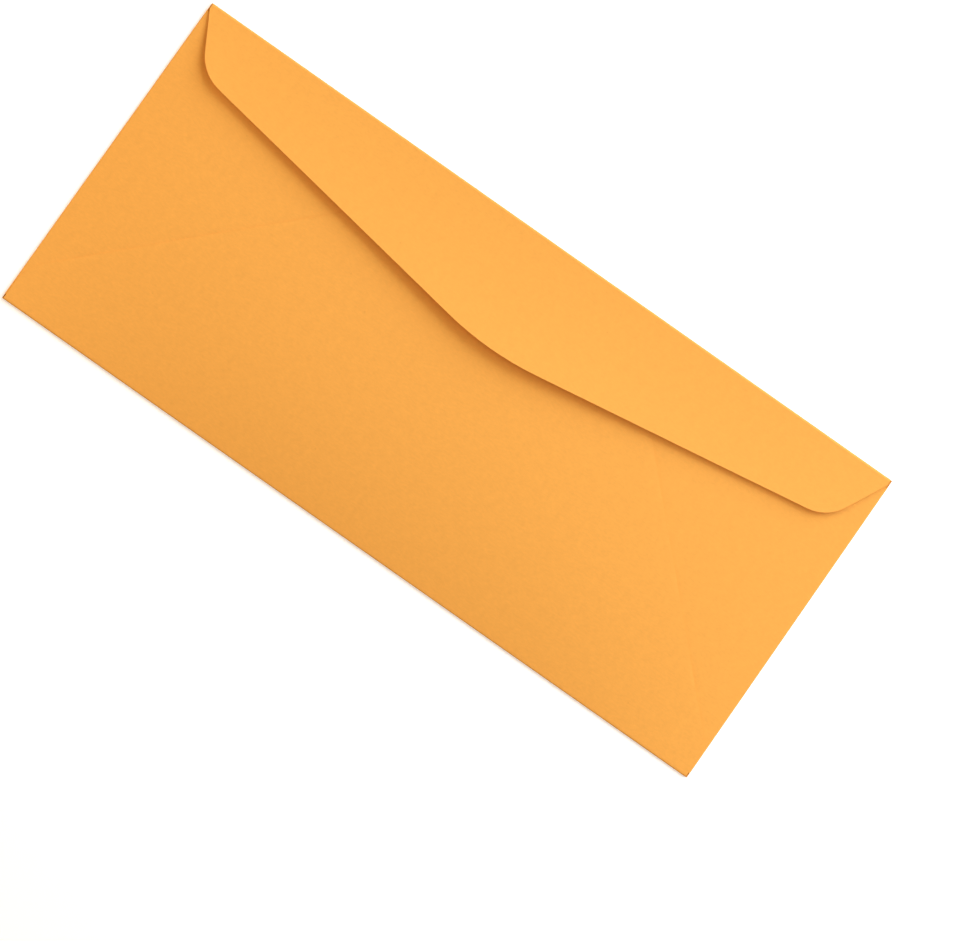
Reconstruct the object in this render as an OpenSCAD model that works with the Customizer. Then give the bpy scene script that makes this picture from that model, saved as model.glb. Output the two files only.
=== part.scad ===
// Business envelope folded from one sheet of kraft paper.
// It lies on its address side, with the closing flap on top, folded over but not sealed.
// X runs along the length, Y from the bottom fold to the fold of the closing flap, Z up.
// The origin is on the surface that it lies on, under the middle of the front panel.

/* [Envelope] */
// Length of the closed envelope
envelope_l = 241.3; // [210:0.1:260]
// Height of the closed envelope, from the bottom fold to the top fold
envelope_h = 104.775; // [95:0.005:120]
// Thickness of the paper
paper_t = 0.15; // [0.1:0.01:0.25]
// Height of the empty pocket, between the front panel and the side flaps
pocket_gap = 0.6; // [0.3:0.05:2]

/* [Closing flap] */
// Depth of the flap at its shoulders, below the top fold
flap_shoulder = 19.5; // [14:0.25:26]
// How far the shoulders stand in from the ends of the envelope
flap_inset = 10.25; // [6:0.25:16]
// Radius of the rounded shoulders
flap_shoulder_r = 13.25; // [6:0.25:15]
// Length of the flap's cut ends beside the fold, before they slant in to the shoulders
flap_start = 1.75; // [0.5:0.25:4]
// Depth below the top fold at which the two long edges would meet, before the tip is rounded
flap_point = 37.5; // [32:0.5:45]
// Radius of the rounded tip
flap_tip_r = 95; // [60:5:120]
// Angle at which the flap springs up from its fold, in degrees
flap_open = 9; // [4:0.5:12]
// Radius of the curl that bends the lifted flap back towards the pocket
flap_curl_r = 1000; // [250:10:2000]
// Height left at the top fold for the flap to lie flat on the back panel
flap_ease = 0.1; // [0.05:0.05:0.5]

/* [Back panel] */
// Angle between a slanted seam and the end of the envelope, in degrees
seam_angle = 45; // [38:1:50]
// Height above the bottom fold at which a slanted seam would meet the end of the envelope
seam_foot = 9.4; // [6:0.1:14]
// Radius of the curve that turns the foot of a seam along the end of the envelope
seam_foot_r = 13; // [6:0.5:16]
// How far the cut ends of the back panel and of the closing flap stand in from the side folds
end_inset = 0.1; // [0.05:0.05:1]
// Depth of the throat below the top fold
throat = 20; // [16:0.5:26]
// Radius of the back panel's two upper corners
throat_corner_r = 12; // [4:1:20]

/* [Side flaps] */
// How far a side flap reaches under the back panel, past the seam
seam_lap = 10; // [6:0.5:16]
// Distance from the top fold to the upper edge of a side flap, at the side fold
side_shoulder = 2.5; // [2:0.25:8]
// Slope of a side flap's upper edge, in degrees
side_slope = 12; // [8:0.5:15]
// Distance from the bottom fold to the lower edge of a side flap
side_foot = 1.5; // [1.25:0.25:5]
// Radius of a side flap's two inner corners
side_corner_r = 10; // [3:0.5:12]

/* [Hidden] */

paper_colour = "#f9ae50";

// Segments of a fold, of the curled flap, of a rounded corner and of the wedge that trims a fold
fold_fn = 64;
curl_fn = 1440;
corner_steps = 16;
wedge_steps = 6;
// How far the outlines that trim the sheet reach past it
over = 20;
// Share by which the curled flap is longer than the depth that its outline keeps
curl_spare = 1.25;

// Heights of the layers of the back, above the surface that the envelope lies on
side_z = paper_t + pocket_gap;
back_z = side_z + paper_t;
flap_z = back_z + paper_t + flap_ease;

// Outer radii of the folds: each one wraps the layers that lie inside it
side_r = back_z / 2;
bottom_r = (back_z + paper_t) / 2;
top_r = (flap_z + paper_t) / 2;

// Height of the front panel's rim, which the folds continue, and the height from which they do
rim_z = side_r;
join_z = rim_z / 2;

// Ends, and folds at the bottom and the top
end_x = envelope_l / 2;
fold_y = envelope_h / 2;
// Cut ends of the back panel and of the closing flap, beside the side folds
cut_x = end_x - side_r - end_inset;

// Angle that the curled flap covers, seen from the middle of its curl
curl_sweep = curl_spare * asin(flap_point / flap_curl_r);

// A vector of length one along v
function unit(v) = v / norm(v);

// The corner p of an outline, between its neighbours a and b, rounded to radius r
function rounded_corner(a, p, b, r) =
    let (
        to_a = unit(a - p),
        to_b = unit(b - p),
        half = acos(to_a * to_b) / 2,
        centre = p + unit(to_a + to_b) * r / sin(half),
        first = p + to_a * r / tan(half) - centre,
        start = atan2(first.y, first.x),
        turn = (180 - 2 * half) * sign(to_b.x * to_a.y - to_b.y * to_a.x)
    )
    [for (i = [0 : corner_steps])
        let (angle = start + turn * i / corner_steps)
        centre + r * [cos(angle), sin(angle)]];

// An outline, each of whose corners is rounded to its own radius, or kept sharp where that is 0
function rounded_outline(corners, radii) =
    let (n = len(corners))
    [for (i = [0 : n - 1])
        each radii[i] == 0
            ? [corners[i]]
            : rounded_corner(corners[(i + n - 1) % n], corners[i], corners[(i + 1) % n], radii[i])];

// Distance of a seam from the end of the envelope, at a height above the bottom fold
function seam_at(height) = (height - seam_foot) * tan(seam_angle);

// A cross-section drawn as (x, z), drawn out along the height of the envelope
module along_y() {
    rotate([90, 0, 0]) linear_extrude(envelope_h, center = true) children();
}

// A cross-section drawn as (y, z), drawn out along the length of the envelope
module along_x() {
    rotate([90, 0, 90]) linear_extrude(envelope_l, center = true) children();
}

// The same shape at both ends of the envelope
module at_both_ends() {
    children();
    mirror([1, 0]) children();
}

// Ring of paper round a fold, from one angle to another, in degrees
module fold(r, from, to, fn = fold_fn) {
    intersection() {
        difference() {
            circle(r, $fn = fn);
            circle(r - paper_t, $fn = fn);
        }
        polygon([
            [0, 0],
            for (i = [0 : wedge_steps])
                let (angle = from + (to - from) * i / wedge_steps)
                2 * r * [cos(angle), sin(angle)]
        ]);
    }
}

// The part of a cross-section that continues the front panel's rim
module above_rim(half) {
    intersection() {
        children();
        translate([-half - over, join_z]) square([2 * (half + over), over]);
    }
}

// Area inside the lower half of the folded sheet, as deep as inset below its surface
module wrapped(half, low_r, high_r, inset, top) {
    intersection() {
        translate([-half + low_r, low_r]) circle(low_r - inset, $fn = fold_fn);
        translate([-half, 0]) square([low_r, top]);
    }
    intersection() {
        translate([half - high_r, high_r]) circle(high_r - inset, $fn = fold_fn);
        translate([half - high_r, 0]) square([high_r, top]);
    }
    translate([-half + low_r, inset]) square([2 * half - low_r - high_r, top - inset]);
}

// Block with the same rounded rim, mitred where two folds meet at a corner
module wrapped_block(inset, top) {
    intersection() {
        along_y() wrapped(end_x, side_r, side_r, inset, top);
        along_x() wrapped(fold_y, bottom_r, top_r, inset, top);
    }
}

// Front panel with the lower half of all its folds
module front_panel() {
    difference() {
        wrapped_block(0, rim_z);
        wrapped_block(paper_t, 2 * rim_z);
    }
}

// Outline of the side flap at the +X end: the other one is its mirror image
module side_flap_outline() {
    low_y = -fold_y + side_foot;
    high_y = fold_y - side_shoulder;
    lap = seam_lap / cos(seam_angle);
    foot_in = seam_at(side_foot) + lap;
    tip_in = (seam_at(envelope_h - side_shoulder) + lap) / (1 + tan(side_slope) * tan(seam_angle));
    polygon(rounded_outline(
        [
            [end_x + over, low_y],
            [end_x + over, high_y + over * tan(side_slope)],
            [end_x - tip_in, high_y - tip_in * tan(side_slope)],
            [end_x - foot_in, low_y]
        ],
        [0, 0, side_corner_r, side_corner_r]
    ));
}

// Both side flaps, folded in over the front panel
module side_flaps() {
    intersection() {
        along_y() {
            above_rim(end_x) at_both_ends() translate([end_x - side_r, side_r]) fold(side_r, -90, 90);
            translate([-end_x + side_r, side_z]) square([envelope_l - 2 * side_r, paper_t]);
        }
        linear_extrude(over) at_both_ends() side_flap_outline();
    }
}

// Outline of the back panel: curved feet, slanted seams and the edge of the throat
module back_panel_outline() {
    foot_y = -fold_y + seam_foot + (end_x - cut_x) / tan(seam_angle);
    throat_x = end_x - seam_at(envelope_h - throat);
    throat_y = fold_y - throat;
    polygon(rounded_outline(
        [
            [-cut_x, -fold_y - over],
            [cut_x, -fold_y - over],
            [cut_x, foot_y],
            [throat_x, throat_y],
            [-throat_x, throat_y],
            [-cut_x, foot_y]
        ],
        [0, 0, seam_foot_r, throat_corner_r, throat_corner_r, seam_foot_r]
    ));
}

// Back panel, folded up from the bottom and glued over the side flaps
module back_panel() {
    intersection() {
        along_x() {
            above_rim(fold_y) translate([-fold_y + bottom_r, bottom_r]) fold(bottom_r, 90, 270);
            translate([-fold_y + bottom_r, back_z]) square([envelope_h - 2 * bottom_r, paper_t]);
        }
        linear_extrude(over) back_panel_outline();
    }
}

// Outline of the closing flap: cut ends, rounded shoulders and a long shallow point
module closing_flap_outline() {
    shoulder_x = end_x - flap_inset;
    shoulder_y = fold_y - flap_shoulder;
    polygon(rounded_outline(
        [
            [cut_x, fold_y + over],
            [-cut_x, fold_y + over],
            [-cut_x, fold_y - flap_start],
            [-shoulder_x, shoulder_y],
            [0, fold_y - flap_point],
            [shoulder_x, shoulder_y],
            [cut_x, fold_y - flap_start]
        ],
        [0, 0, 0, flap_shoulder_r, flap_tip_r, flap_shoulder_r, 0]
    ));
}

// Closing flap, folded over from the top and lifted a little by the spring of its fold
module closing_flap() {
    intersection() {
        along_x() {
            above_rim(fold_y) translate([fold_y - top_r, top_r]) rotate(90 - flap_open) {
                fold(top_r, flap_open - 180, 0);
                translate([top_r - flap_curl_r, 0]) fold(flap_curl_r, 0, curl_sweep, curl_fn);
            }
        }
        linear_extrude(over) closing_flap_outline();
    }
}

// The whole sheet
module envelope() {
    color(paper_colour) {
        front_panel();
        side_flaps();
        back_panel();
        closing_flap();
    }
}

envelope();
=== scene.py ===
"""Business envelope in golden kraft paper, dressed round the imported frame.

The envelope lies on its address side, with the closing flap on top, folded over but not sealed. It is one
sheet of paper: the blank is laid out flat, its four flaps are drawn out from the front panel and cut to
their outlines, and then every point of the blank is carried to its place on the folded envelope.

Where nothing else is said, lengths are millimetres and angles are degrees. Meshes are in metres.
"""

import logging
import math
from contextlib import contextmanager
from dataclasses import dataclass, field
from enum import Enum
from typing import Callable, Iterable, Iterator

import bmesh
import bpy
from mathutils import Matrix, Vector


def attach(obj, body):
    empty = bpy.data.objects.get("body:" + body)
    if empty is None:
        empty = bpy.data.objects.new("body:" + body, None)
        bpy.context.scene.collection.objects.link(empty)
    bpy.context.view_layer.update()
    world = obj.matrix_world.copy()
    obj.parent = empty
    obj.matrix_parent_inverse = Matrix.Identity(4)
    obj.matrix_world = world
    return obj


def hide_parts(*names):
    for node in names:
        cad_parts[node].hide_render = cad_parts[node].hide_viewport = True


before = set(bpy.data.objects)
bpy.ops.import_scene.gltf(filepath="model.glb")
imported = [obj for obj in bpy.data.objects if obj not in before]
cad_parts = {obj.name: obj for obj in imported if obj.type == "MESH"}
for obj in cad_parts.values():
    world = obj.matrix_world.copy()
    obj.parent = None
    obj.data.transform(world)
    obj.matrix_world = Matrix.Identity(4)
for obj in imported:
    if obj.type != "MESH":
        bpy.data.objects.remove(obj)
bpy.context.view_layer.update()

log = logging.getLogger("envelope")

MM = 0.001
# Two places on the blank that are closer than this are the same
NEAR = 0.004
# A point of the mesh that is closer than this to a cut, in metres, lies on it
CUT_NEAR = 1e-7
# How far the straight pieces of a rounded corner may stand off its true curve
CORNER_GAP = 0.02
# Depth past its fold at which each flap surely has paper
INSIDE_DEPTH = 2.0
# Distance from the middle of the envelope at which the lines along a seam are pinned
SEAM_PIN = 60.0
# Angle between two faces from which the edge between them is shaded as sharp
SHARP_ANGLE = 35.0
WHITE = (1.0, 1.0, 1.0)

# Colour as red, green and blue
Colour = tuple[float, float, float]
# Corner of an outline: its place along the envelope and up it, and the radius that rounds it
Corner = tuple[float, float, float]


class Side(Enum):
    """Side of the front panel that a flap hangs on, as the way out from the middle."""

    LEFT = (-1, 0)
    RIGHT = (1, 0)
    BOTTOM = (0, -1)
    TOP = (0, 1)

    def reach(self, place: Vector) -> float:
        """Distance of a place from the middle of the blank, on the way out to this side."""
        return place.x * self.value[0] + place.y * self.value[1]

    def step(self, length: float) -> tuple[float, float, float]:
        """Move of the given length on the way out to this side."""
        return self.value[0] * length, self.value[1] * length, 0.0


@dataclass(frozen=True)
class Crease:
    """One fold of the sheet, rounded in half a circle.

    Attributes:
        start: Distance from the middle of the blank at which the fold begins.
        radius: Radius of the middle layer of the paper round the fold.
        open_angle: Angle by which the fold stays short of half a turn.
    """

    start: float
    radius: float
    open_angle: float = 0.0

    @property
    def quarter(self) -> float:
        """Length of paper in a quarter of a turn."""
        return self.radius * math.pi / 2

    @property
    def middle(self) -> float:
        """Distance from the middle of the blank to the middle of the fold."""
        return self.start + self.quarter

    def bent(self, beyond: float, open_share: float = 1.0) -> tuple[float, float]:
        """Carries a point of the blank round the fold.

        Args:
            beyond: Distance of the point past the start of the fold, on the blank.
            open_share: Share of the open angle that the fold keeps at this point.

        Returns:
            Distance past the start of the fold, which is negative once the paper has come back, and the
            height above the front panel.
        """
        if beyond <= 0:
            return beyond, 0.0
        spring = math.radians(self.open_angle * open_share)
        if beyond < 2 * self.quarter:
            angle = beyond / self.radius * (1 - spring / math.pi)
            return self.radius * math.sin(angle), self.radius * (1 - math.cos(angle))
        return 2 * self.quarter - beyond, self.radius * (1 + math.cos(spring))


@dataclass(frozen=True)
class Ramp:
    """Smooth rise of a value over a distance.

    Attributes:
        low: Place before which the ramp adds nothing.
        high: Place past which it adds its whole gain.
        gain: What it adds in all.
    """

    low: float
    high: float
    gain: float = 1.0

    def at(self, place: float) -> float:
        """What the ramp adds at a place."""
        share = min(max((place - self.low) / (self.high - self.low), 0.0), 1.0)
        return self.gain * (share * share * (3 - 2 * share))


@dataclass(frozen=True)
class Wave:
    """Sine wave over a distance.

    Attributes:
        height: How far it rises over its middle.
        stride: Distance in which it gets one radian further.
        start: Its angle at the middle of the envelope, in radians.
    """

    height: float
    stride: float
    start: float

    def at(self, place: float, share: float = 1.0) -> float:
        """Height of the wave at a place where only a share of it is left."""
        return self.height * share * math.sin(place / self.stride + self.start)


@dataclass(frozen=True)
class Seam:
    """Glued seam that slants at 45 degrees over one end of the back, with a faint groove along it.

    Attributes:
        reach: Sum of the distances out to the end and up, from the middle, of each place on the seam.
        dip: Depth of the groove that the gum draws.
        fine_wave: Finer of the two waves that make the groove uneven.
        coarse_wave: Coarser one of them.
        evenness: Share of the depth that the two waves play round.
        foot: Where the groove ends at the foot of the seam, counted along it.
        rows: Lines of the mesh beside the seam, as distances from it. The last is half the groove's width.
    """

    reach: float
    dip: float
    fine_wave: Wave
    coarse_wave: Wave = Wave(0.25, 4.7, 0.4)
    evenness: float = 0.6
    foot: Ramp = Ramp(114, 106)
    rows: tuple[float, ...] = (0.0, 0.45, 0.9)

    def groove(self, out: float, up: float) -> float:
        """Depth of the groove at a place.

        Args:
            out: Distance of the place from the middle, out to the end.
            up: Its height over the middle.

        Returns:
            The depth, which is 0 away from the seam.
        """
        inside = (self.reach - out - up) / math.sqrt(2)
        along = (out - up) / math.sqrt(2)
        share = max(1 - abs(inside) / self.rows[-1], 0.0) * self.foot.at(along)
        return self.dip * share * (self.evenness + self.fine_wave.at(along) + self.coarse_wave.at(along))


@dataclass(frozen=True)
class Swell:
    """Swell of the empty pocket, fullest below its middle and slowly falling off to the open top.

    Attributes:
        height: Height of the swell where it is fullest.
        scale: Brings the curve from the bottom fold to the top fold to a height of one.
        end_power: Power of its fall towards the ends.
        top_power: Power of its fall towards the top fold.
        ripple_along: Slight ripple along the envelope.
        ripple_up: The same ripple's share up the envelope.
    """

    height: float = 2.45
    scale: float = 5.65
    end_power: float = 3.0
    top_power: float = 1.6
    ripple_along: Wave = Wave(0.05, 17, 0.6)
    ripple_up: Wave = Wave(1.0, 13, 1.1)

    def at(self, x: float, y: float, along: float, up: float) -> float:
        """Height of the swell at a place.

        Args:
            x: Place along the back, from its middle.
            y: Place up the back, from its middle.
            along: Share of the way from the middle to an end.
            up: Share of the way from the bottom fold to the top fold.

        Returns:
            How far the paper stands off the flat pocket.
        """
        fullest = self.height + self.ripple_along.at(x) * self.ripple_up.at(y)
        return fullest * (1 - along**self.end_power) * self.scale * up * (1 - up) ** self.top_power


def unit(direction: Vector) -> Vector:
    """The same direction with a length of one."""
    return direction / direction.length


def rounded_line(corners: Iterable[Corner], turn_step: float) -> list[Vector]:
    """Rounds the corners of an open line.

    Args:
        corners: The corners; one with a radius of 0 stays sharp.
        turn_step: Largest turn between two pieces of a rounded corner.

    Returns:
        The points of the rounded line, from its first corner to its last.
    """
    corners = list(corners)
    places = [Vector((x, y)) for x, y, _ in corners]
    line: list[Vector] = []
    for i, (place, (_, _, radius)) in enumerate(zip(places, corners)):
        if radius == 0:
            line.append(place)
            continue
        back, ahead = unit(places[i - 1] - place), unit(places[i + 1] - place)
        half = back.angle(ahead) / 2
        centre = place + unit(back + ahead) * radius / math.sin(half)
        first, last = (place + way * radius / math.tan(half) - centre for way in (back, ahead))
        turn = first.angle_signed(last)
        widest_step = min(turn_step, 2 * math.degrees(math.acos(1 - CORNER_GAP / radius)))
        pieces = max(2, math.ceil(math.degrees(abs(turn)) / widest_step))
        start = math.atan2(first.y, first.x)
        for k in range(pieces + 1):
            angle = start - turn * k / pieces
            line.append(centre + radius * Vector((math.cos(angle), math.sin(angle))))
    return line


@dataclass
class FoldedSheet:
    """The envelope itself: one sheet with a front panel, two side flaps, a back panel and a closing flap.

    Places on the envelope are counted from its middle, along it to the right and up to the top fold.

    Attributes:
        length: Length of the closed envelope.
        height: Height of the closed envelope, between its bottom and top folds.
        paper: Thickness of the paper.
        sides: Fold of the two side flaps.
        bottom: Fold of the back panel.
        top: Fold of the closing flap.
        grid: Distance between the lines of the mesh on the flat parts.
        settle_rows: First rows of faces beside a fold, from the fold outwards.
        fold_rows: Rows of faces in a quarter of a turn.
        turn_step: Largest turn between two cuts round a corner.
        cut_x: Distance from the middle to the cut ends of the back panel and of the closing flap.
        left_seam: Seam at the left end of the back.
        right_seam: Seam at its right end.
        seam_foot_r: Radius of the curve that turns the foot of a seam along the end.
        throat: Height of the back panel's upper edge, and the radius of its two corners.
        side_foot: Lower inner corner of the right side flap.
        side_tip: Upper inner corner of the right side flap, with the radius of both.
        side_slope: Slope of the side flap's upper edge.
        flap_start: Length of the closing flap's cut ends beside the fold.
        flap_corners: The flap's left shoulder, point and right shoulder, with depths below the top fold
            in the place of heights.
        lift: Share of its spring that the closing flap keeps where the ramps add nothing.
        lift_ramps: How that share changes along the flap: its left end springs up from the fold, and it
            comes down towards its right shoulder.
        curl_radius: Radius of the curl that lifts the flap's edge.
        flap_wave: Slight wave of the flap's edge.
        swell: Swell of the empty pocket.
        layer_gap: Gap between a side flap and the back panel that is glued on it.
    """

    length: float = 241.3
    height: float = 104.775
    paper: float = 0.15
    sides: Crease = Crease(start=120.2, radius=0.375)
    bottom: Crease = Crease(start=51.8625, radius=0.45)
    top: Crease = Crease(start=51.7375, radius=0.575, open_angle=3.0)
    grid: float = 2.6
    settle_rows: tuple[float, ...] = (0.25, 0.5, 1.0)
    fold_rows: int = 6
    turn_step: float = 5.0

    # Outlines of the flaps
    cut_x: float = 120.1
    left_seam: Seam = Seam(reach=78.9, dip=0.135, fine_wave=Wave(0.25, 2.1, -1.0))
    right_seam: Seam = Seam(reach=78.0, dip=0.06, fine_wave=Wave(0.25, 2.1, 1.0))
    seam_foot_r: float = 13.0
    throat: tuple[float, float] = (32.3875, 12.0)
    side_foot: tuple[float, float] = (114.41, -50.8875)
    side_tip: Corner = (32.39, 31.13, 10.0)
    side_slope: float = 12.0
    flap_start: float = 1.75
    flap_corners: tuple[Corner, Corner, Corner] = (
        (-110.4, 18.8, 14.0),
        (2.9, 37.45, 95.0),
        (110.7, 20.0, 12.5),
    )

    # Pose of the loose paper
    lift: float = 1.12
    lift_ramps: tuple[Ramp, ...] = (Ramp(-95, -118, 0.3), Ramp(-40, 5, -0.1), Ramp(25, 100, -0.3))
    curl_radius: float = 220.0
    flap_wave: Wave = Wave(0.1, 15, 0.9)
    swell: Swell = Swell()
    layer_gap: float = 0.012

    piece: bpy.types.Object = field(init=False, repr=False)

    def build(self) -> bpy.types.Object:
        """Makes the folded sheet.

        Returns:
            The finished object, closed and with its place in its mesh.
        """
        self.lay_out_front()
        for side in Side:
            self.draw_out(side, self.rows_of_lip(self.crease(side)))
        for side, depth, outline in self.flaps():
            self.draw_out(side, self.rows_of_flap(self.crease(side), depth))
            self.cut_out(side, outline)
        self.score_seams()
        self.fold()
        self.thicken()
        return self.piece

    def crease(self, side: Side) -> Crease:
        """The fold on one side of the front panel."""
        return {Side.BOTTOM: self.bottom, Side.TOP: self.top}.get(side, self.sides)

    def seam(self, x: float) -> Seam:
        """The seam on the side of the envelope that x is on."""
        return self.right_seam if x > 0 else self.left_seam

    def flaps(self) -> list[tuple[Side, float, list[Vector]]]:
        """Lists the flaps in the order in which they are cut out.

        Returns:
            Each flap's side and depth, and its outline as seen on the folded envelope.
        """
        side = self.side_outline()
        mirrored = [Vector((-p.x, p.y)) for p in side]
        side_depth = self.length / 2 - self.side_tip[0]
        flap_depth = max(depth for _, depth, _ in self.flap_corners)
        return [
            (Side.RIGHT, side_depth, side),
            (Side.LEFT, side_depth, mirrored),
            (Side.BOTTOM, self.height / 2 + self.throat[0], self.back_outline()),
            (Side.TOP, flap_depth, self.closing_outline()),
        ]

    def side_outline(self) -> list[Vector]:
        """Draws the right side flap. The left one is its mirror image.

        Returns:
            Its outline, from the lower end of its fold to the upper end.
        """
        foot_x, foot_y = self.side_foot
        tip_x, tip_y, radius = self.side_tip
        end_x = self.length / 2
        end_y = tip_y + (end_x - tip_x) * math.tan(math.radians(self.side_slope))
        corners = ((end_x, foot_y, 0), (foot_x, foot_y, radius), (tip_x, tip_y, radius), (end_x, end_y, 0))
        return rounded_line(corners, self.turn_step)

    def back_outline(self) -> list[Vector]:
        """Draws the back panel, with curved feet, slanted seams and the edge of the throat.

        Returns:
            Its outline, from the left end of its fold to the right end.
        """
        left, right = self.left_seam.reach, self.right_seam.reach
        throat_y, throat_r = self.throat
        corners = (
            (-self.cut_x, -self.height / 2, 0),
            (-self.cut_x, left - self.cut_x, self.seam_foot_r),
            (throat_y - left, throat_y, throat_r),
            (right - throat_y, throat_y, throat_r),
            (self.cut_x, right - self.cut_x, self.seam_foot_r),
            (self.cut_x, -self.height / 2, 0),
        )
        return rounded_line(corners, self.turn_step)

    def closing_outline(self) -> list[Vector]:
        """Draws the closing flap, with cut ends, rounded shoulders and a long shallow point.

        Returns:
            Its outline, from the left end of its fold to the right end.
        """
        fold_y = self.height / 2
        corners = (
            (-self.cut_x, fold_y, 0),
            (-self.cut_x, fold_y - self.flap_start, 0),
            *[(x, fold_y - depth, radius) for x, depth, radius in self.flap_corners],
            (self.cut_x, fold_y - self.flap_start, 0),
            (self.cut_x, fold_y, 0),
        )
        return rounded_line(corners, self.turn_step)

    def rows_of_lip(self, crease: Crease) -> list[float]:
        """Rows of faces from the front panel's grid to the middle of a fold."""
        return [*reversed(self.settle_rows), *[crease.quarter / self.fold_rows] * self.fold_rows]

    def rows_of_flap(self, crease: Crease, depth: float) -> list[float]:
        """Divides a flap, from the middle of its fold to its end.

        Args:
            crease: The fold between the flap and the front panel.
            depth: Depth of the flap on the folded envelope.

        Returns:
            The depth of each row of faces.
        """
        rest = depth - sum(self.settle_rows)
        count = math.ceil(rest / self.grid)
        turned = [crease.quarter / self.fold_rows] * self.fold_rows
        return [*turned, *self.settle_rows, *[rest / count] * count]

    def lay_out_front(self) -> None:
        """Lays out the front panel as a grid, a little smaller than the folds leave it."""
        settle = sum(self.settle_rows)
        width = 2 * (self.sides.start - settle)
        low, high = -self.bottom.start + settle, self.top.start - settle
        bpy.ops.object.select_all(action="DESELECT")
        bpy.ops.mesh.primitive_grid_add(
            x_subdivisions=math.ceil(width / self.grid),
            y_subdivisions=math.ceil((high - low) / self.grid),
            size=1,
            location=(0, (low + high) / 2 * MM, 0),
        )
        self.piece = bpy.context.object
        self.piece.name = self.piece.data.name = "folded_sheet"
        self.piece.scale = (width * MM, (high - low) * MM, 1)
        bpy.ops.object.transform_apply(location=True, rotation=True, scale=True)

    def pick(self, edges: bool, chosen: Callable[[Vector], bool]) -> None:
        """Selects, in edit mode, the edges or faces whose every corner is chosen.

        Args:
            edges: Whether edges are picked, and not faces.
            chosen: Says whether a place on the blank belongs.
        """
        mesh = bmesh.from_edit_mesh(self.piece.data)
        belongs = {v: chosen(v.co / MM) for v in mesh.verts}
        mesh.select_mode = {"EDGE"} if edges else {"FACE"}
        for part in (*mesh.verts, *mesh.edges, *mesh.faces):
            part.select = False
        for part in mesh.edges if edges else mesh.faces:
            if all(belongs[v] for v in part.verts):
                part.select_set(True)
        bmesh.update_edit_mesh(self.piece.data)

    def draw_out(self, side: Side, rows: Iterable[float]) -> None:
        """Draws the outermost border of one side further out.

        Args:
            side: The side that grows.
            rows: Depth of each new row of faces.
        """
        border = max(side.reach(v.co) for v in self.piece.data.vertices) / MM
        bpy.ops.object.mode_set(mode="EDIT")
        bpy.ops.mesh.select_mode(type="EDGE")
        self.pick(True, lambda place: side.reach(place) > border - NEAR)
        for row in rows:
            bpy.ops.mesh.extrude_region_move(TRANSFORM_OT_translate={"value": side.step(row * MM)})
        bpy.ops.object.mode_set(mode="OBJECT")

    @contextmanager
    def only_flap(self, side: Side) -> Iterator[None]:
        """Opens the blank for cuts, with nothing in sight but the flap on one side.

        Args:
            side: The side that the flap hangs on.

        Yields:
            Nothing, while the blank is open.
        """
        root = self.crease(side).middle
        bpy.ops.object.mode_set(mode="EDIT")
        bpy.ops.mesh.select_mode(type="FACE")
        self.pick(False, lambda place: side.reach(place) > root - NEAR)
        bpy.ops.mesh.hide(unselected=True)
        yield
        bpy.ops.mesh.reveal(select=False)
        bpy.ops.object.mode_set(mode="OBJECT")

    def on_blank(self, place: Vector, side: Side) -> Vector:
        """Where a place on a folded flap lies on the blank, as its mirror image past the fold."""
        out = Vector(side.value)
        return place + out * (2 * self.crease(side).middle - 2 * place.dot(out))

    def bisect(self, place: Vector, away: Vector, drop: bool) -> None:
        """Adds a straight line to the part of the mesh that is in sight.

        Args:
            place: A place on the line, on the blank.
            away: Direction across the line.
            drop: Whether the paper on that side of the line is cut off.
        """
        bpy.ops.mesh.select_all(action="SELECT")
        bpy.ops.mesh.bisect(
            plane_co=(place.x * MM, place.y * MM, 0),
            plane_no=(away.x, away.y, 0),
            clear_outer=drop,
            threshold=CUT_NEAR,
        )

    def cut_out(self, side: Side, outline: list[Vector]) -> None:
        """Cuts a flap of the blank to its outline, one straight cut after another.

        Args:
            side: The side that the flap hangs on.
            outline: The flap's outline on the folded envelope, from the fold to its other end.
        """
        crease = self.crease(side)
        flat = [self.on_blank(place, side) for place in outline]
        inside = Vector(side.value) * (crease.start + 2 * crease.quarter + INSIDE_DEPTH)
        with self.only_flap(side):
            for start, end in zip(flat, flat[1:]):
                along = unit(end - start)
                away = Vector((along.y, -along.x))
                self.bisect(start, -away if away.dot(inside - start) > 0 else away, drop=True)

    def score_seams(self) -> None:
        """Adds lines of the mesh along the seams, on the side flaps and on the back panel over them."""
        for side, ways in ((Side.LEFT, (-1,)), (Side.RIGHT, (1,)), (Side.BOTTOM, (-1, 1))):
            # Each piece of the back is seen on its own side of the seam, and its rows lie there
            inwards = 1 if side is Side.BOTTOM else -1
            with self.only_flap(side):
                for way in ways:
                    seam = self.seam(way)
                    for row in seam.rows:
                        up = seam.reach - SEAM_PIN - inwards * row * math.sqrt(2)
                        pin = self.on_blank(Vector((way * SEAM_PIN, up)), side)
                        self.bisect(pin, Vector((way, -1)), drop=False)

    def flap_lift(self, x: float) -> float:
        """Share of its spring that the closing flap keeps at a place along the envelope."""
        return sum((ramp.at(x) for ramp in self.lift_ramps), self.lift)

    def pocket_rise(self, x: float, y: float) -> float:
        """Height at which the back stands off the flat pocket: its swell, less a seam's groove.

        Args:
            x: Place along the back, from its middle.
            y: Place up the back, from its middle.

        Returns:
            The height, which is a little below 0 where a groove comes near a fold.
        """
        along = min(abs(x) / self.sides.start, 1.0)
        up = min(max((y + self.bottom.start) / (self.bottom.start + self.top.start), 0.0), 1.0)
        return self.swell.at(x, y, along, up) - self.seam(x).groove(abs(x), y)

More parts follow.
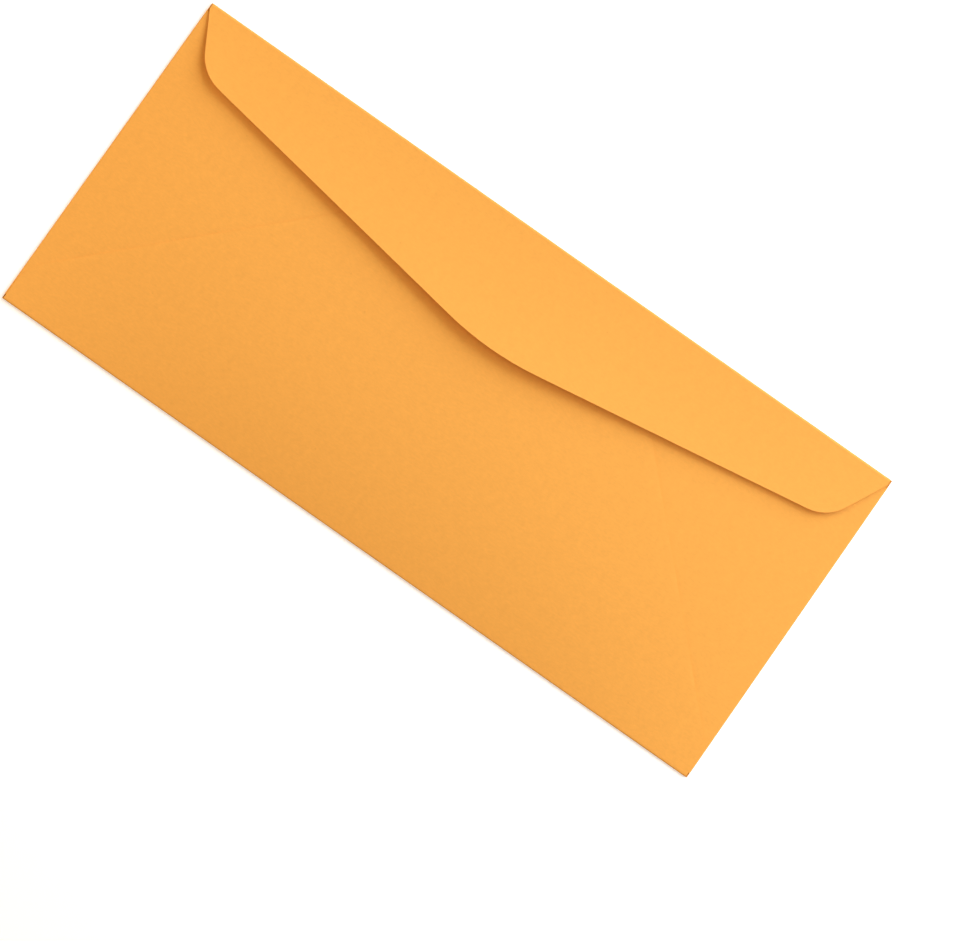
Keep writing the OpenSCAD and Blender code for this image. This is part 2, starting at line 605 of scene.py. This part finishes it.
    def folded(self, flat: Vector) -> Vector:
        """Carries a point of the blank to its place in the middle layer of the folded sheet.

        Args:
            flat: The point on the blank.

        Returns:
            Its place on the envelope.
        """
        ground = self.paper / 2
        way = math.copysign(1, flat.x)
        past_side = abs(flat.x) - self.sides.start
        past_bottom = -flat.y - self.bottom.start
        past_top = flat.y - self.top.start
        if past_side > self.sides.quarter + NEAR:
            out, rise = self.sides.bent(past_side)
            x = way * (self.sides.start + out)
            return Vector((x, flat.y, ground + rise - self.layer_gap + self.pocket_rise(x, flat.y)))
        if past_bottom > self.bottom.quarter + NEAR:
            out, rise = self.bottom.bent(past_bottom)
            y = -self.bottom.start - out
            return Vector((flat.x, y, ground + rise + self.pocket_rise(flat.x, y)))
        if past_top > self.top.quarter + NEAR:
            return self.on_closing_flap(flat.x, past_top)
        # What is left is the front panel with its rim, where two folds may meet at a corner
        side_out, side_rise = self.sides.bent(past_side)
        if past_bottom > past_top:
            out, rise = self.bottom.bent(past_bottom)
            y = -self.bottom.start - out
        else:
            out, rise = self.top.bent(past_top, self.flap_lift(flat.x))
            y = self.top.start + out
        return Vector((way * (self.sides.start + side_out), y, ground + max(side_rise, rise)))

    def on_closing_flap(self, x: float, past_fold: float) -> Vector:
        """Place of a point of the closing flap, which springs up from its fold and curls up.

        Args:
            x: Place along the envelope.
            past_fold: Distance of the point past the start of the fold, on the blank.

        Returns:
            Its place on the envelope.
        """
        share = self.flap_lift(x)
        out, rise = self.top.bent(past_fold, share)
        back = max(-out, 0.0)
        slope = math.sin(math.radians(self.top.open_angle))
        curl = math.asin(slope + back / self.curl_radius)
        lift = self.curl_radius * (math.sqrt(1 - slope * slope) - math.cos(curl))
        _, (_, depth, _), _ = self.flap_corners
        wave = self.flap_wave.at(x, (back / depth) ** 2)
        return Vector((x, self.top.start + out, self.paper / 2 + rise + share * lift + wave))

    def fold(self) -> None:
        """Folds the blank up. Each point keeps its place on the blank for the grain of the paper."""
        mesh = self.piece.data
        flat = mesh.attributes.new("flat_place", "FLOAT_VECTOR", "POINT")
        flat.data.foreach_set("vector", [c for v in mesh.vertices for c in v.co])
        for vertex in mesh.vertices:
            vertex.co = self.folded(vertex.co / MM) * MM
        mesh.update()

    def thicken(self) -> None:
        """Gives the sheet its thickness and smooths its shading, except at the cut edges."""
        wall = self.piece.modifiers.new("paper", "SOLIDIFY")
        wall.thickness = self.paper * MM
        wall.offset = 0
        wall.use_even_offset = True
        wall.thickness_clamp = 0
        bpy.ops.object.select_all(action="DESELECT")
        self.piece.select_set(True)
        bpy.context.view_layer.objects.active = self.piece
        bpy.ops.object.modifier_apply(modifier=wall.name)
        bpy.ops.object.shade_smooth_by_angle(angle=math.radians(SHARP_ANGLE))


class Recipe:
    """Node tree of a material or of the world, with short ways to add its nodes."""

    def __init__(self, owner: bpy.types.Material | bpy.types.World) -> None:
        """Starts a node tree that has nothing but its output.

        Args:
            owner: The new material or world.
        """
        owner.use_nodes = True
        self.tree = owner.node_tree
        self.tree.nodes.clear()
        self.output = self.node("OutputMaterial" if isinstance(owner, bpy.types.Material) else "OutputWorld")

    def node(self, kind: str, settings: dict | None = None, **inputs: object) -> bpy.types.Node:
        """Adds a node.

        Args:
            kind: Name of the node's type, without its ShaderNode in front.
            settings: Properties of the node.
            inputs: Values, or output sockets to link, by input name with _ for a space, or by i and the
                input's number.

        Returns:
            The new node.
        """
        node = self.tree.nodes.new("ShaderNode" + kind)
        for key, value in (settings or {}).items():
            setattr(node, key, value)
        for key, value in inputs.items():
            by_number = key[0] == "i" and key[1:].isdigit()
            socket = node.inputs[int(key[1:]) if by_number else key.replace("_", " ")]
            if isinstance(value, bpy.types.NodeSocket):
                self.tree.links.new(value, socket)
            else:
                socket.default_value = value
        return node

    def math(
        self, operation: str, first: object, second: object, clamp: bool = False
    ) -> bpy.types.NodeSocket:
        """Adds a Math node and returns its result."""
        settings = {"operation": operation, "use_clamp": clamp}
        return self.node("Math", settings, i0=first, i1=second).outputs[0]

    def mix(self, share: object, first: object, second: object) -> bpy.types.NodeSocket:
        """Mixes two colours.

        Args:
            share: Share of the second colour, as a socket.
            first: First colour, as its three parts or as a socket.
            second: Second colour, given in the same way.

        Returns:
            The mixed colour.
        """
        ends = [(*c, 1.0) if isinstance(c, tuple) else c for c in (first, second)]
        return self.node("Mix", {"data_type": "RGBA"}, i0=share, i6=ends[0], i7=ends[1]).outputs[2]

    def seen(self) -> bpy.types.NodeSocket:
        """Tells the rays that see the surface straight, in a gloss or through glass.

        Returns:
            One for such a ray, and else zero.
        """
        path = self.node("LightPath").outputs
        seen = self.math("ADD", path["Is Camera Ray"], path["Is Glossy Ray"])
        return self.math("ADD", seen, path["Is Transmission Ray"], clamp=True)

    def finish(self, shader: bpy.types.NodeSocket) -> None:
        """Links the shader to the output."""
        self.tree.links.new(shader, self.output.inputs["Surface"])


@dataclass(frozen=True)
class Grain:
    """One noise in the tone of the paper.

    Attributes:
        scale: Scale of the noise.
        detail: How many times finer noises are added to it.
        roughness: Weight of the finer noises.
        share: Its share in the tone.
        stretch: Its scale along the sheet. Below 1, the noise is drawn out that way.
    """

    scale: float
    detail: float
    roughness: float
    share: float
    stretch: float = 1.0

    def tone(self, recipe: Recipe, place: bpy.types.NodeSocket) -> bpy.types.NodeSocket:
        """Adds the noise to a material.

        Args:
            recipe: The material's nodes.
            place: Place on the blank.

        Returns:
            What the noise adds to the tone there.
        """
        drawn = recipe.node("Mapping", Vector=place, Scale=(self.stretch, 1.0, 1.0)).outputs[0]
        noise = recipe.node(
            "TexNoise", Vector=drawn, Scale=self.scale, Detail=self.detail, Roughness=self.roughness
        ).outputs[0]
        return recipe.math("MULTIPLY", noise, self.share)


@dataclass(frozen=True)
class KraftPaper:
    """Golden kraft paper: matte and uncoated, with short fibres and a few dark specks.

    Attributes:
        colour: Colour of the paper.
        speck_colour: Colour of a speck in the pulp.
        roughness: Roughness of the surface.
        gloss: Specular level, low because the paper isn't coated.
        contrast: Share by which the fibres change the colour.
        fibres: Noise of the fibres.
        cloud: Noise of the pulp's uneven thickness.
        spread: Gain that stretches the tone, which keeps near a half, over its whole range.
        cell_scale: Scale of the cells, each of which may have a speck.
        speck_radius: Radius of a speck, as a share of its cell.
        bare_cells: Share of the cells that have none.
        speck_share: Share of the speck's colour in it.
        bump_strength: Strength of the fibres' relief.
        bump_depth: Depth of that relief, in metres.
    """

    colour: Colour = (0.87, 0.379, 0.068)
    speck_colour: Colour = (0.60, 0.22, 0.035)
    roughness: float = 0.85
    gloss: float = 0.2
    contrast: float = 0.05
    fibres: Grain = Grain(scale=1600.0, detail=3.0, roughness=0.6, share=0.7, stretch=0.45)
    cloud: Grain = Grain(scale=330.0, detail=2.0, roughness=0.5, share=0.3)
    spread: float = 2.5
    cell_scale: float = 95.0
    speck_radius: float = 0.028
    bare_cells: float = 0.45
    speck_share: float = 0.2
    bump_strength: float = 0.5
    bump_depth: float = 0.00005

    def material(self) -> bpy.types.Material:
        """Makes the paper's material.

        Returns:
            A material that reads the place of each point on the flat blank.
        """
        paper = bpy.data.materials.new("kraft_paper")
        recipe = Recipe(paper)
        place = recipe.node("Attribute", {"attribute_name": "flat_place"}).outputs["Vector"]
        tone = recipe.math("ADD", self.fibres.tone(recipe, place), self.cloud.tone(recipe, place))
        apart = recipe.math("MULTIPLY", recipe.math("SUBTRACT", tone, 0.5), self.spread)
        dark = tuple(c * (1 - self.contrast) for c in self.colour)
        light = tuple(min(c * (1 + self.contrast), 1.0) for c in self.colour)
        pulp = recipe.mix(recipe.math("ADD", apart, 0.5, clamp=True), dark, light)
        bump = recipe.node("Bump", Height=tone, Strength=self.bump_strength, Distance=self.bump_depth)
        shader = recipe.node(
            "BsdfPrincipled",
            Base_Color=recipe.mix(self.speck(recipe, place), pulp, self.speck_colour),
            Roughness=self.roughness,
            Normal=bump.outputs[0],
            Specular_IOR_Level=self.gloss,
        )
        recipe.finish(shader.outputs[0])
        return paper

    def speck(self, recipe: Recipe, place: bpy.types.NodeSocket) -> bpy.types.NodeSocket:
        """Adds the specks to a material.

        Args:
            recipe: The material's nodes.
            place: Place on the blank.

        Returns:
            Share of the speck's colour there.
        """
        cells = recipe.node("TexVoronoi", Vector=place, Scale=self.cell_scale, Randomness=1.0)
        near = recipe.math("LESS_THAN", cells.outputs["Distance"], self.speck_radius)
        drawn = recipe.node("SeparateColor", i0=cells.outputs["Color"]).outputs[0]
        chosen = recipe.math("GREATER_THAN", drawn, self.bare_cells)
        return recipe.math("MULTIPLY", recipe.math("MULTIPLY", near, chosen), self.speck_share)


@dataclass(frozen=True)
class SoftLight:
    """Square soft light, turned to the envelope.

    Attributes:
        name: Name of the light.
        azimuth: Direction that it stands in, counted from +X towards +Y.
        elevation: Height over the floor, as an angle.
        distance: Distance from the envelope, in metres.
        size: Length of its sides, in metres.
        level: Light that it gives a white floor, where 1 makes the floor white.
        tint: Colour of the light, around 1 in each part.
    """

    name: str
    azimuth: float
    elevation: float
    distance: float
    size: float
    level: float
    tint: Colour = (0.94, 1.11, 1.33)

    def hang(self) -> None:
        """Hangs the light in the scene."""
        azimuth, elevation = math.radians(self.azimuth), math.radians(self.elevation)
        flat = math.cos(elevation)
        way = Vector((flat * math.cos(azimuth), flat * math.sin(azimuth), math.sin(elevation)))
        data = bpy.data.lights.new(self.name, "AREA")
        data.shape = "SQUARE"
        data.size = self.size
        data.color = self.tint
        # The light on the floor falls with the distance squared and with the slant
        data.energy = self.level * (math.pi * self.distance) ** 2 / math.sin(elevation)
        lamp = bpy.data.objects.new(self.name, data)
        bpy.context.scene.collection.objects.link(lamp)
        lamp.visible_camera = False
        lamp.location = way * self.distance
        lamp.rotation_euler = way.to_track_quat("Z", "Y").to_euler()


@dataclass(frozen=True)
class Studio:
    """Floor, backdrop and lights round the envelope.

    Attributes:
        floor_size: Length of the floor's sides, in metres.
        floor_colour: Colour of the floor.
        floor_glow: Light that the floor adds for the camera alone near the envelope, which makes it white.
        glow_from: Distance from the envelope's middle, in metres, at which that light begins to grow.
        glow_to: Distance at which it is one, so that the floor meets the white backdrop with no line.
        fill_level: Light that comes evenly from all round.
        fill_tint: Colour of that light, warm as if it came off the paper and the room.
        lights: The soft lights.
    """

    floor_size: float = 6.0
    floor_colour: Colour = (0.88, 0.88, 0.88)
    floor_glow: float = 0.28
    glow_from: float = 0.25
    glow_to: float = 0.9
    fill_level: float = 0.226
    fill_tint: Colour = (1.15, 0.75, 0.2)
    lights: tuple[SoftLight, ...] = (
        SoftLight("key", azimuth=66, elevation=29, distance=1.4, size=1.3, level=0.515),
        SoftLight("corner_light", azimuth=30, elevation=35, distance=0.6, size=0.4, level=0.12),
        SoftLight(
            "side_light",
            azimuth=-5,
            elevation=45,
            distance=0.5,
            size=0.3,
            level=0.188,
            tint=(1.0, 1.0, 1.05),
        ),
        SoftLight(
            "left_light",
            azimuth=184,
            elevation=35,
            distance=0.5,
            size=0.3,
            level=0.2,
            tint=(1.03, 0.92, 0.75),
        ),
    )

    def build(self) -> None:
        """Sets up the floor, the world and the lights."""
        self.lay_floor()
        self.light_world()
        for light in self.lights:
            light.hang()

    def lay_floor(self) -> None:
        """Lays a plain pale floor under the envelope."""
        bpy.ops.object.select_all(action="DESELECT")
        bpy.ops.mesh.primitive_plane_add(size=self.floor_size, location=(0, 0, 0))
        floor = bpy.context.object
        floor.name = "floor"
        material = bpy.data.materials.new("floor_white")
        recipe = Recipe(material)
        matte = recipe.node("BsdfDiffuse", Color=(*self.floor_colour, 1.0)).outputs[0]
        place = recipe.node("TexCoord").outputs["Object"]
        away = recipe.node("VectorMath", {"operation": "LENGTH"}, i0=place).outputs["Value"]
        level = recipe.node(
            "MapRange", Value=away, From_Min=self.glow_from, From_Max=self.glow_to, To_Min=self.floor_glow
        ).outputs[0]
        glow = recipe.node("Emission", Strength=recipe.math("MULTIPLY", recipe.seen(), level)).outputs[0]
        recipe.finish(recipe.node("AddShader", i0=matte, i1=glow).outputs[0])
        floor.data.materials.append(material)

    def light_world(self) -> None:
        """Gives the world an even light, and white where the camera looks past the floor."""
        world = bpy.data.worlds.new("studio")
        bpy.context.scene.world = world
        recipe = Recipe(world)
        seen = recipe.seen()
        level = recipe.node("MapRange", Value=seen, To_Min=self.fill_level).outputs[0]
        colour = recipe.mix(seen, self.fill_tint, WHITE)
        recipe.finish(recipe.node("Background", Color=colour, Strength=level).outputs[0])


@dataclass(frozen=True)
class Viewpoint:
    """Camera that looks down on the envelope as the photograph does.

    Attributes:
        place: Place of the camera.
        turn: Its turn about X, Y and Z.
        lens: Its focal length.
        sensor: Width of its sensor.
        sight: Nearest and farthest distance that it sees, in metres.
    """

    place: tuple[float, float, float] = (15.626, -37.788, 661.773)
    turn: tuple[float, float, float] = (1.4341, -1.6581, 35.0322)
    lens: float = 85.0
    sensor: float = 36.0
    sight: tuple[float, float] = (0.01, 50.0)

    def build(self) -> None:
        """Sets up the camera and makes it the scene's."""
        data = bpy.data.cameras.new("camera")
        data.lens = self.lens
        data.sensor_width = self.sensor
        data.sensor_fit = "HORIZONTAL"
        data.clip_start, data.clip_end = self.sight
        camera = bpy.data.objects.new("camera", data)
        bpy.context.scene.collection.objects.link(camera)
        camera.location = Vector(self.place) * MM
        camera.rotation_euler = [math.radians(a) for a in self.turn]
        bpy.context.scene.camera = camera


def main() -> None:
    """Builds the studio, the camera and the envelope."""
    logging.basicConfig(level=logging.INFO, format="%(name)s: %(message)s")
    bpy.context.scene.view_settings.view_transform = "Standard"
    Studio().build()
    Viewpoint().build()
    sheet = FoldedSheet().build()
    sheet.data.materials.append(KraftPaper().material())
    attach(sheet, "root")
    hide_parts("envelope")
    log.info("%s: %d faces", sheet.name, len(sheet.data.polygons))


if __name__ == "__main__":
    main()
